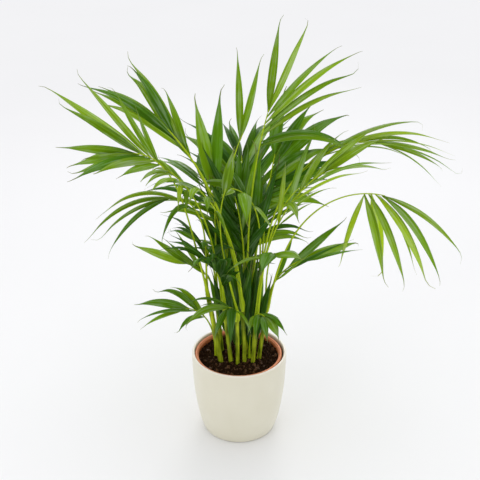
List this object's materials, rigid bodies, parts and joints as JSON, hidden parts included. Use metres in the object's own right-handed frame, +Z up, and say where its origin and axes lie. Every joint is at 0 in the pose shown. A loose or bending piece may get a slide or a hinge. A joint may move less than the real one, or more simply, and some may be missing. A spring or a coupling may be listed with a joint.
{
  "type": "potted areca palm",
  "caption": "Potted areca palm: a clump of slim green stems with arching feather fronds, in an orange grow pot inside a smooth ivory cover pot.",
  "frame": {"origin": "middle of the cover pot's flat underside", "axes": "+Z up, -Y toward the front of the plant, +X to the right as seen from the front"},
  "size_m": [0.5376, 0.3261, 0.5977],
  "materials": {
    "ivory_glaze": "satin ivory glaze",
    "orange_plastic": "matte terracotta orange",
    "soil": "crumbly dark potting soil",
    "stem_green": "smooth yellow green",
    "leaf_green": "satin leaf green"
  },
  "bodies": {
    "root": {"cover_pot": "ivory_glaze", "grow_pot": "orange_plastic", "soil": "soil", "stem_a": "stem_green", "stem_b": "stem_green", "stem_c": "stem_green", "stem_d": "stem_green", "stem_e": "stem_green", "stem_f": "stem_green", "stem_g": "stem_green", "stem_h": "stem_green", "stem_i": "stem_green", "stem_j": "stem_green", "stem_k": "stem_green", "stem_l": "stem_green", "frond_left_top": "leaf_green", "frond_left_back": "leaf_green", "frond_right_top": "leaf_green", "frond_back_spear": "leaf_green", "frond_pair_up": "leaf_green", "frond_lime_leaf": "leaf_green", "frond_new_leaf": "leaf_green", "frond_right_far": "leaf_green", "stalk_right_droop": "stem_green", "frond_right_droop": "leaf_green", "frond_right_dark": "leaf_green", "frond_left_mid": "leaf_green", "frond_left_low": "leaf_green", "frond_left_hook": "leaf_green", "frond_right_low": "leaf_green", "frond_right_front": "leaf_green", "frond_front_arch": "leaf_green", "frond_front_high": "leaf_green", "frond_right_hook": "leaf_green", "frond_centre_up": "leaf_green", "frond_back_high": "leaf_green", "frond_back_left": "leaf_green", "frond_back_right": "leaf_green", "frond_centre_left": "leaf_green", "frond_centre_back": "leaf_green", "frond_inner_left": "leaf_green", "frond_inner_right": "leaf_green", "frond_inner_back": "leaf_green", "frond_right_skirt": "leaf_green", "frond_back_low": "leaf_green", "frond_foot_left": "leaf_green", "frond_foot_front": "leaf_green", "frond_sucker_left": "leaf_green", "frond_sucker_mid": "leaf_green", "frond_sucker_right": "leaf_green"}
  },
  "joints": []
}
